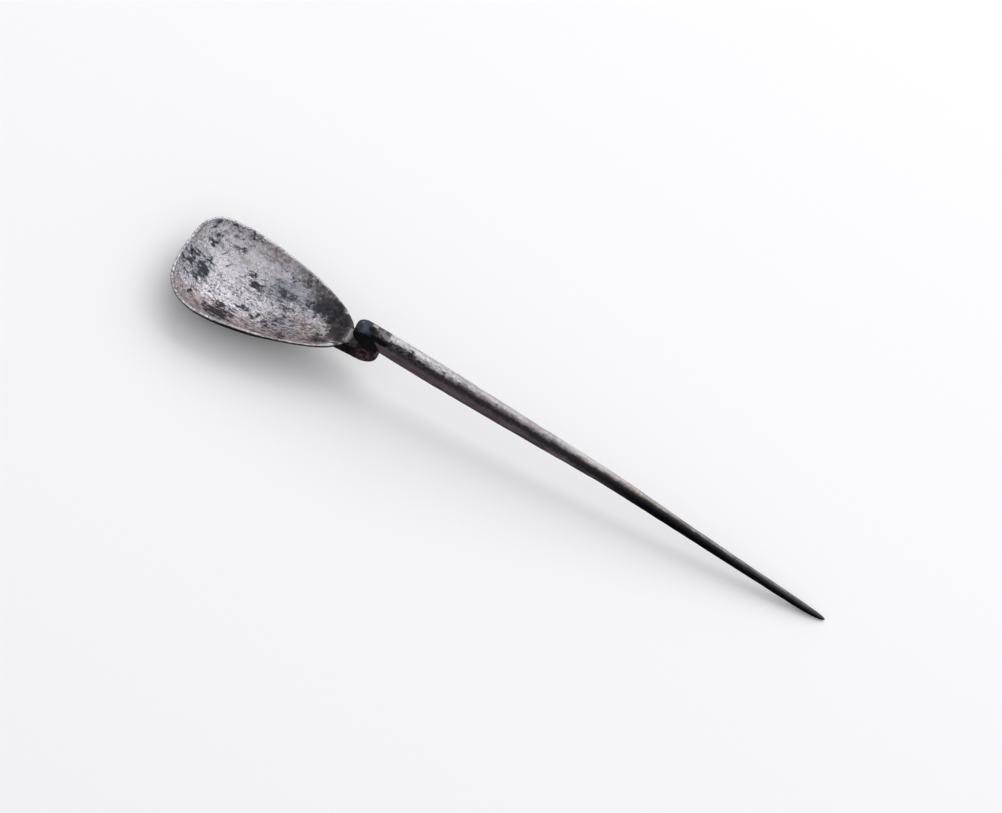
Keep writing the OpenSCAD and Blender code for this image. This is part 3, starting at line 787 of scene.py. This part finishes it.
# Bare metal shines, and sulphide is duller and rougher; the relief is in metres
most_metallic, least_rough, relief_depth = 0.86, 0.36, 0.00005
metallic = calc("SUBTRACT", calc("SUBTRACT", most_metallic, times(sooty, 0.3)), times(black, 0.85))
sl.new(metallic, shader.inputs["Metallic"])
shader.inputs["IOR"].default_value = 1.12
shader.inputs["Specular IOR Level"].default_value = 0.05
shader.inputs["Specular Tint"].default_value = (0.25, 0.25, 0.25, 1)
dull = calc("ADD", times(sooty, 0.1), times(fine_grain, 0.2))
sl.new(calc("ADD", dull, least_rough), shader.inputs["Roughness"])
height = calc("ADD", times(fine_grain, 0.6), calc("ADD", times(scores, -0.4), times(cracks, -0.25)))
height = calc("ADD", height, calc("ADD", times(islands, 0.3), times(between(hairs, 0.0, 0.1), 0.3)))
relief = sn.new("ShaderNodeBump")
relief.inputs["Strength"].default_value = 1.0
relief.inputs["Distance"].default_value = relief_depth
sl.new(height, relief.inputs["Height"])
sl.new(relief.outputs[0], shader.inputs["Normal"])

# Laid on the table: the spoon rests on its belly and its point, and the middle of its footprint is 0.
rest_tilt, shift_x, shift_z = -2.94492, -74.4293, 6.17329
lay_down = (Matrix.Scale(0.001, 4) @ Matrix.Translation((shift_x, 0, shift_z))
            @ Matrix.Rotation(math.radians(rest_tilt), 4, "Y"))
joined.data.transform(lay_down)
joined.data.update()
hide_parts("spoon")
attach(joined, "root")

# The table.
# A plain pale table top under soft studio light, with the camera at the photograph's angle.
photo_tilt, photo_turn = math.radians(35), math.radians(27.066)
mm_per_px, photo_w, sensor_w = 0.2, 1002, 36.0
middle_along, middle_across, distance = 71.3, 1.0, 6000.0
along = Vector((1, 0, 0))
across = Vector((0, math.cos(photo_tilt), math.sin(photo_tilt)))
toward = Vector((0, -math.sin(photo_tilt), math.cos(photo_tilt)))
right = math.cos(photo_turn) * along + math.sin(photo_turn) * across
up = math.cos(photo_turn) * across - math.sin(photo_turn) * along
eye = middle_along * along + middle_across * across + distance * toward
pose = Matrix((right, up, toward)).transposed().to_4x4()
pose.translation = eye
pose = lay_down @ pose
camera = bpy.data.objects.new("camera", bpy.data.cameras.new("camera"))
camera.data.sensor_fit, camera.data.sensor_width = "HORIZONTAL", sensor_w
camera.data.lens = sensor_w * distance / (mm_per_px * photo_w)
camera.data.clip_start, camera.data.clip_end = 0.05, 50
heading = pose.to_3x3().normalized().to_quaternion()
camera.matrix_world = Matrix.LocRotScale(pose.translation, heading, None)
bpy.context.scene.collection.objects.link(camera)
bpy.context.scene.camera = camera

half = 3
table_top = bpy.data.meshes.new("table")
table_top.from_pydata([(-half, -half, 0), (half, -half, 0), (half, half, 0), (-half, half, 0)],
                      [], [(0, 1, 2, 3)])
table = bpy.data.objects.new("table", table_top)
bpy.context.scene.collection.objects.link(table)
pale = bpy.data.materials.new("pale_table")
pale.use_nodes = True
matt = pale.node_tree.nodes["Principled BSDF"]
matt.inputs["Base Color"].default_value = (0.86, 0.86, 0.86, 1)
matt.inputs["Roughness"].default_value = 0.9
table_top.materials.append(pale)

light = bpy.data.lights.new("back_light", "AREA")
light.shape, light.size, light.size_y, light.energy = "RECTANGLE", 1.6, 0.9, 8.0
lamp = bpy.data.objects.new("back_light", light)
lamp_at = Vector((0.1, 0.8, 0.75))
lamp.matrix_world = Matrix.LocRotScale(lamp_at, (-lamp_at).to_track_quat("-Z", "Y"), None)
bpy.context.scene.collection.objects.link(lamp)
world = bpy.data.worlds.new("studio")
world.use_nodes = True
sky = world.node_tree.nodes["Background"]
sky.inputs["Color"].default_value = (0.77, 0.77, 0.79, 1)
sky.inputs["Strength"].default_value = 1.0
bpy.context.scene.world = world
bpy.context.scene.view_settings.view_transform = "Standard"
